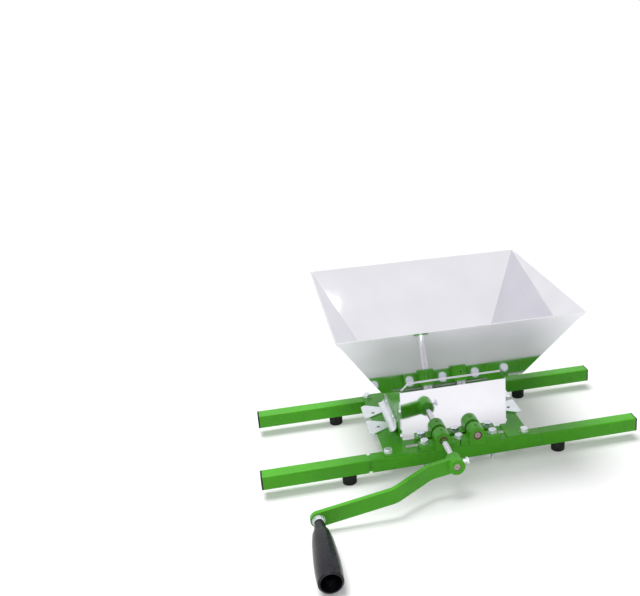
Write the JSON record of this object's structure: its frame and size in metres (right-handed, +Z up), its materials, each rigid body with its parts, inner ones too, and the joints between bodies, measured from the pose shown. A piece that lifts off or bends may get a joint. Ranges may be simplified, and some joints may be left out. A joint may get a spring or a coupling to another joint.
{
  "type": "hand-cranked fruit crusher",
  "caption": "Hand-cranked apple crusher with a flared steel hopper over geared toothed rollers, on telescopic rails that span a tub.",
  "frame": {"origin": "on the ground the feet stand on, under the middle of the roller box", "axes": "+X along the rails to the right, seen from the crank; +Y away from the crank side; +Z up out of the hopper"},
  "size_m": [0.6615, 0.5854, 0.2835],
  "materials": {
    "green_paint": "glossy green powder coat",
    "polished_steel": "mirror-polished stainless sheet",
    "zinc_plate": "bright zinc plating",
    "bare_steel": "ground and oiled steel",
    "gear_steel": "machined steel, lightly greased",
    "cast_aluminium": "cast, slightly rough",
    "foot_rubber": "matt black rubber",
    "cap_plastic": "matt black moulding",
    "grip_plastic": "half-gloss black moulding",
    "bronze": "sintered bronze, oiled"
  },
  "bodies": {
    "base": {"bearing_bushes": "bronze", "block_bolts": "zinc_plate", "bolt_washers": "zinc_plate", "bracket_rivets": "zinc_plate", "cover_screws": "zinc_plate", "frame_bolts": "zinc_plate", "front_centre_tube": "green_paint", "front_cover": "polished_steel", "front_left_pillow_block": "green_paint", "front_right_pillow_block": "green_paint", "guide_plate_screws": "zinc_plate", "hopper": "polished_steel", "hopper_nuts": "zinc_plate", "hopper_screws": "zinc_plate", "left_ear_bracket": "zinc_plate", "left_guide_plate": "polished_steel", "left_side_frame": "green_paint", "rear_centre_tube": "green_paint", "rear_cover": "polished_steel", "rear_left_pillow_block": "green_paint", "rear_right_pillow_block": "green_paint", "right_ear_bracket": "zinc_plate", "right_guide_plate": "polished_steel", "right_side_frame": "green_paint"},
    "drive": {"drive_shaft": "bare_steel", "drive_spacers": "bare_steel", "drive_roller": "cast_aluminium", "drive_roller_pins": "bare_steel", "drive_gear": "gear_steel", "drive_grub_screw": "bare_steel", "crank_hub": "green_paint", "hub_set_bolt": "zinc_plate", "crank_arm": "green_paint", "grip_spindle": "zinc_plate", "spindle_nuts": "zinc_plate"},
    "idler": {"idler_shaft": "bare_steel", "idler_spacers": "bare_steel", "idler_roller": "cast_aluminium", "idler_roller_pins": "bare_steel", "idler_gear": "gear_steel", "idler_grub_screw": "bare_steel"},
    "grip": {"grip": "grip_plastic"},
    "front_left_rail_end": {"front_left_end_tube": "green_paint", "front_left_sleeve": "green_paint", "front_left_end_cap": "cap_plastic", "front_left_foot": "foot_rubber"},
    "front_right_rail_end": {"front_right_end_tube": "green_paint", "front_right_sleeve": "green_paint", "front_right_end_cap": "cap_plastic", "front_right_foot": "foot_rubber"},
    "rear_left_rail_end": {"rear_left_end_tube": "green_paint", "rear_left_sleeve": "green_paint", "rear_left_end_cap": "cap_plastic", "rear_left_foot": "foot_rubber"},
    "rear_right_rail_end": {"rear_right_end_tube": "green_paint", "rear_right_sleeve": "green_paint", "rear_right_end_cap": "cap_plastic", "rear_right_foot": "foot_rubber"}
  },
  "joints": [
    {"name": "drive_shaft_spin", "type": "hinge", "parent": "base", "child": "drive", "pos_m": [-0.0275, 0, 0.06], "axis": [0, 1, 0], "continuous": true},
    {"name": "idler_shaft_spin", "type": "hinge", "parent": "base", "child": "idler", "pos_m": [0.0325, 0, 0.06], "axis": [0, 1, 0], "continuous": true},
    {"name": "grip_spin", "type": "hinge", "parent": "drive", "child": "grip", "pos_m": [-0.25411, -0.33, 0.0237], "axis": [0, 1, 0], "continuous": true},
    {"name": "front_left_slide", "type": "slide", "parent": "base", "child": "front_left_rail_end", "axis": [-1, 0, 0], "range_m": [-0.0055, 0.0305]},
    {"name": "front_right_slide", "type": "slide", "parent": "base", "child": "front_right_rail_end", "axis": [1, 0, 0], "range_m": [0, 0.036]},
    {"name": "rear_left_slide", "type": "slide", "parent": "base", "child": "rear_left_rail_end", "axis": [-1, 0, 0], "range_m": [0, 0.036]},
    {"name": "rear_right_slide", "type": "slide", "parent": "base", "child": "rear_right_rail_end", "axis": [1, 0, 0], "range_m": [0, 0.036]}
  ],
  "couplings": [
    {"joint": "idler_shaft_spin", "follows": "drive_shaft_spin", "ratio": -1}
  ]
}
